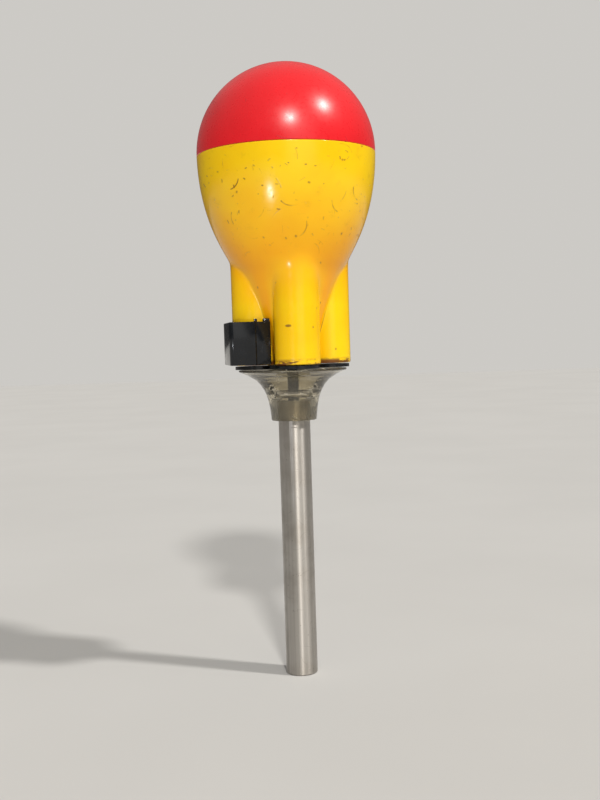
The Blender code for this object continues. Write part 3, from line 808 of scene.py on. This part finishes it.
def make_funnel():
    """The clear funnel: a round flange, a flared bowl and a neck with a rolled lower lip."""
    top, bottom = FUNNEL_HIGH.z, FUNNEL_LOW.z
    edge_r, seat_r, seat_top = FUNNEL_HIGH.x, TUBE_R + GAP, TUBE_HIGH.z + GAP
    outer = [(edge_r, top, 0.15), (edge_r, 96.5, 0.25), (16.3, 96.35, 0.5), (14.3, 95.45, 2.0)]
    outer += [(12.8, 94.55, 2.0), (11.4, 93.6, 2.0), (10.1, 92.1, 2.0), (9.1, 90.4, 2.0), (8.45, 88.9, 2.0)]
    outer += [(8.05, 87.5, 2.0), (7.6, 85.3, 2.0), (7.3, 82.8, 1.0), (7.15, bottom, 0.5)]
    inner = [(seat_r, bottom, 0.2), (seat_r, seat_top, 0.05), (4.3, seat_top, 0.1), (4.3, 88.7, 0.4)]
    inner += [(5.7, 89.8, 1.0), (7.2, 91.2, 1.0), (8.7, 92.8, 1.0), (10.5, 94.3, 1.0), (12.6, 95.5, 1.0)]
    inner += [(14.6, 96.3, 1.0), (16.2, top, 0.1)]
    funnel = turned("clear_funnel", rounded(outer + inner, closed=True), CLEAR, sides=FINE, closed=True)
    place(funnel, "feed_funnel", "selector")


def make_shaft():
    """The tube: round bore, hexagon socket at the tip, ring groove and a staked mark near the top."""
    top, bottom, bore_r, hex_depth, flats = TUBE_HIGH.z, TUBE_LOW.z, 4.0, 14.0, 6.5
    tube = turned("shaft_tube_fine", rounded([
        (0.0, top, 0.0), (TUBE_R, top, 0.3), (TUBE_R, bottom, 0.45), (0.0, bottom, 0.0),
    ], count=6), SHAFT_STEEL, sides=MEDIUM)
    corner = flats / 2 / math.cos(math.pi / 6)
    hexagon = cylinder("hex_bore", corner, -1.0, hex_depth + 0.5, sides=6)
    hexagon.data.transform(Matrix.Rotation(math.pi / 6, 4, "Z"))
    groove_r, groove_low, groove_high = 4.3, 5.2, 6.6
    merge(tube, [
        cylinder("tube_bore", bore_r, hex_depth, top + 1.0, sides=64), hexagon,
        cylinder("ring_groove", groove_r, groove_low, groove_high, sides=64),
        block("stake_mark", (-1.9, -5.5, 78.7), (0.8, -4.75, 79.05)),
    ], "DIFFERENCE", SHAFT_SHARP_ANGLE)
    place(tube, "shaft_tube", "selector")


# ---------------------------------------------------------------- lock slider

def make_lock_slider():
    """A boxed clip that hugs one lobe, with a flange towards the shaft and small stops on it."""
    inner_face, step, outer_face, corner = 7.9, 12.5, 20.6, 1.5
    flange_half, box_half, edge = 9.7, 10.5, 0.3
    low, high, shoulder = SLIDER_LOW.z, SLIDER_HIGH.z, SLIDER_HIGH.z - 0.9
    side = [(inner_face, flange_half), (step, flange_half), (step, box_half)]
    side += arc((outer_face - corner, box_half - corner), corner, 90.0, 0.0, 9)
    outline = side + [(x, -y) for x, y in reversed(side)]
    heading = math.degrees(lobe_angle(SLIDER_LOBE)) - 90.0
    turn = Matrix.Rotation(math.radians(heading), 2)
    points = [tuple(turn @ Vector(point)) for point in outline]
    slider = prism("lock_slider_fine", points, shoulder, low, BLACK, edge=edge)
    settle(slider)
    stops = []
    for near, far in ((8.1, 10.2), (11.9, 12.9)):
        for side_low, side_high in ((8.3, 9.4), (-9.4, -8.3)):
            name = f"stop_{near:.0f}_{side_high:.0f}"
            stops.append(block(name, (near, side_low, shoulder - 0.8), (far, side_high, high), heading))
            add_bevel(stops[-1], 0.2)
            settle(stops[-1])
    merge(slider, stops, "UNION")
    centre = ring_point(LOBE_RING_R, lobe_angle(SLIDER_LOBE))
    hug_gap, above, below = 0.35, high + 3.0, low - 2.0
    hug = cylinder("slider_bore", LOBE_R + hug_gap, below, above, centre, sides=MEDIUM)
    cone = [(bulb_radius(height) + hug_gap, height) for height in (above, below)]
    cone = [(0.0, above), *cone, (0.0, below)]
    merge(slider, [hug, turned("slider_cone", cone)], "DIFFERENCE")
    place(slider, "lock_slider", "lock")


make_handle()
make_cover()
make_dome()
make_friction_ring()
make_rod()
make_gate()
make_hub_rings()
make_funnel()
make_shaft()
make_lock_slider()
for part in frame["record"]["subparts"]:
    kept = frame["nodes"][part["node"]]
    kept.data.materials.clear()
    kept.data.materials.append(SLOT_MATERIALS[part["material_slot"]])


# ---------------------------------------------------------------- floor, light and camera

PALE = (0.94, 0.915, 0.87)
BACKDROP_GLOW = 0.645
LOW_SKY, HIGH_SKY = 0.08, 0.40

# The strip's middle and half width in degrees round the tool, and its strength.
STRIP_TURN, STRIP_HALF, STRIP_GLOW = 20.0, 24.0, 0.9


def make_floor():
    side, drop = 3.0, 0.0001
    mesh = bpy.data.meshes.new("floor")
    shape = bmesh.new()
    bmesh.ops.create_grid(shape, x_segments=1, y_segments=1, size=side)
    shape.to_mesh(mesh)
    shape.free()
    floor = bpy.data.objects.new("floor", mesh)
    bpy.context.scene.collection.objects.link(floor)
    floor.location.z = TUBE_LOW.z * MM - drop
    g = Graph("floor_paper")
    tone = g.spread(g.noise(7.0, 3.0), 0.3, 0.7)
    g.shade(Base_Color=g.mix(tone, (0.60, 0.595, 0.585, 1.0), (0.58, 0.575, 0.565, 1.0)), Roughness=0.9)
    mesh.materials.append(g.material)


def make_world():
    """An even pale backdrop; what lights the tool grows brighter upwards, with one soft bright strip."""
    world = bpy.data.worlds.new("studio")
    world.use_nodes = True
    tree = world.node_tree
    links, shader = tree.links, tree.nodes["Background"]

    def math_node(operation, first, second=0.0):
        node = tree.nodes.new("ShaderNodeMath")
        node.operation = operation
        for socket, value in zip(node.inputs, (first, second)):
            if isinstance(value, bpy.types.NodeSocket):
                links.new(value, socket)
            else:
                socket.default_value = value
        return node.outputs["Value"]

    def smooth(value, low, high, start=0.0, end=1.0):
        node = tree.nodes.new("ShaderNodeMapRange")
        node.interpolation_type = "SMOOTHSTEP"
        links.new(value, node.inputs["Value"])
        for key, number in (("From Min", low), ("From Max", high), ("To Min", start), ("To Max", end)):
            node.inputs[key].default_value = number
        return node.outputs["Result"]

    parts = tree.nodes.new("ShaderNodeSeparateXYZ")
    links.new(tree.nodes.new("ShaderNodeTexCoord").outputs["Generated"], parts.inputs["Vector"])
    turn = math_node("ARCTAN2", parts.outputs["X"], math_node("MULTIPLY", parts.outputs["Y"], -1.0))
    away = math_node("ABSOLUTE", math_node("SUBTRACT", turn, math.radians(STRIP_TURN)))
    strip = smooth(away, math.radians(STRIP_HALF * 0.45), math.radians(STRIP_HALF), 1.0, 0.0)
    strip = math_node("MULTIPLY", strip, smooth(parts.outputs["Z"], 0.35, 0.8, 1.0, 0.0))
    sky = smooth(parts.outputs["Z"], 0.0, 0.9, LOW_SKY, HIGH_SKY)
    glow = math_node("ADD", sky, math_node("MULTIPLY", strip, STRIP_GLOW))
    seen = tree.nodes.new("ShaderNodeLightPath").outputs["Is Camera Ray"]
    shown = tree.nodes.new("ShaderNodeMix")
    links.new(seen, shown.inputs["Factor"])
    links.new(glow, shown.inputs["A"])
    shown.inputs["B"].default_value = BACKDROP_GLOW
    shader.inputs["Color"].default_value = (*PALE, 1.0)
    links.new(shown.outputs["Result"], shader.inputs["Strength"])
    bpy.context.scene.world = world


# What the lights are aimed at: the bulb's middle, this high in metres.
AIM_HEIGHT = 0.14
WARM = (1.0, 0.97, 0.92)
COOL = (0.9, 0.93, 1.0)


def light_direction(turn, elevation):
    """Where a light stands: a turn to the right of the front and an elevation, in degrees."""
    a, e = math.radians(turn), math.radians(elevation)
    return Vector((math.sin(a) * math.cos(e), -math.cos(a) * math.cos(e), math.sin(e)))


def add_light(name, kind, turn, elevation, power, size, distance=1.0, colour=(1.0, 1.0, 1.0)):
    """A sun of an angular size in degrees, or a small round lamp aimed at the bulb."""
    data = bpy.data.lights.new(name, kind)
    data.energy = power
    data.color = colour
    if kind == "SUN":
        data.angle = math.radians(size)
    else:
        data.shape = "DISK"
        data.size = size
    light = bpy.data.objects.new(name, data)
    bpy.context.scene.collection.objects.link(light)
    out = light_direction(turn, elevation)
    light.location = Vector((0.0, 0.0, AIM_HEIGHT)) + out * distance
    light.rotation_mode = "QUATERNION"
    light.rotation_quaternion = (-out).to_track_quat("-Z", "Y")
    light.visible_camera = False
    return data


def make_camera():
    """Level with the tool's upper part, in front of it, and leant so that its top goes left."""
    distance, elevation, lean, aside, height, lens = 0.3472, 3.0, 1.79, 0.002, 0.0872, 49.3
    data = bpy.data.cameras.new("camera")
    data.sensor_width = 36.0
    data.lens = lens
    camera = bpy.data.objects.new("camera", data)
    bpy.context.scene.collection.objects.link(camera)
    e = math.radians(elevation)
    out = Vector((0.0, -math.cos(e), math.sin(e)))
    camera.location = Vector((aside, 0.0, height)) + out * distance
    look = (-out).to_track_quat("-Z", "Y").to_matrix()
    camera.rotation_euler = (look @ Matrix.Rotation(math.radians(-lean), 3, "Z")).to_euler()
    bpy.context.scene.camera = camera


make_floor()
make_world()
add_light("front_lamp", "SUN", 7.7, 36.0, power=1.65, size=5.5, colour=WARM)
add_light("side_lamp", "SUN", 68.0, 47.0, power=1.8, size=4.5, colour=WARM)
low_lamp = add_light("low_lamp", "AREA", -22.0, -14.7, power=0.0052, size=0.012, distance=0.4, colour=COOL)
low_lamp.spread = math.radians(26.0)
make_camera()

bpy.context.scene.view_settings.view_transform = "Standard"
